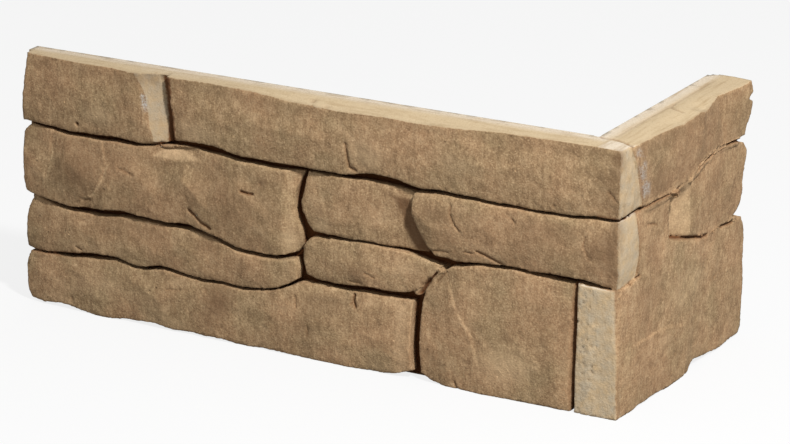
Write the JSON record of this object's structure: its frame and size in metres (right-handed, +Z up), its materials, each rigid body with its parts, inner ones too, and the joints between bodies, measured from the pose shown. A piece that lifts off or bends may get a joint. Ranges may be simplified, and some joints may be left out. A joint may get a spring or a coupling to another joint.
{
  "type": "stone cladding corner piece",
  "caption": "L-shaped corner piece of cast stone wall cladding, with split-stone faces in woven courses on the outside and flat backs that wrap an outside wall corner.",
  "frame": {"origin": "on the base, on the line where the two wall planes meet, at the back of the long leg", "axes": "+Y out of the back of the long leg into the wall, -X along the long leg to its free end, +Y also along the short leg to its free end, +Z up"},
  "size_m": [0.3875, 0.1606, 0.15],
  "materials": {
    "cast_stone": "matt, rough split face, stained warm brown, with bare sand-coloured top and ends"
  },
  "bodies": {
    "root": {"corner_stone": "cast_stone"}
  },
  "joints": []
}
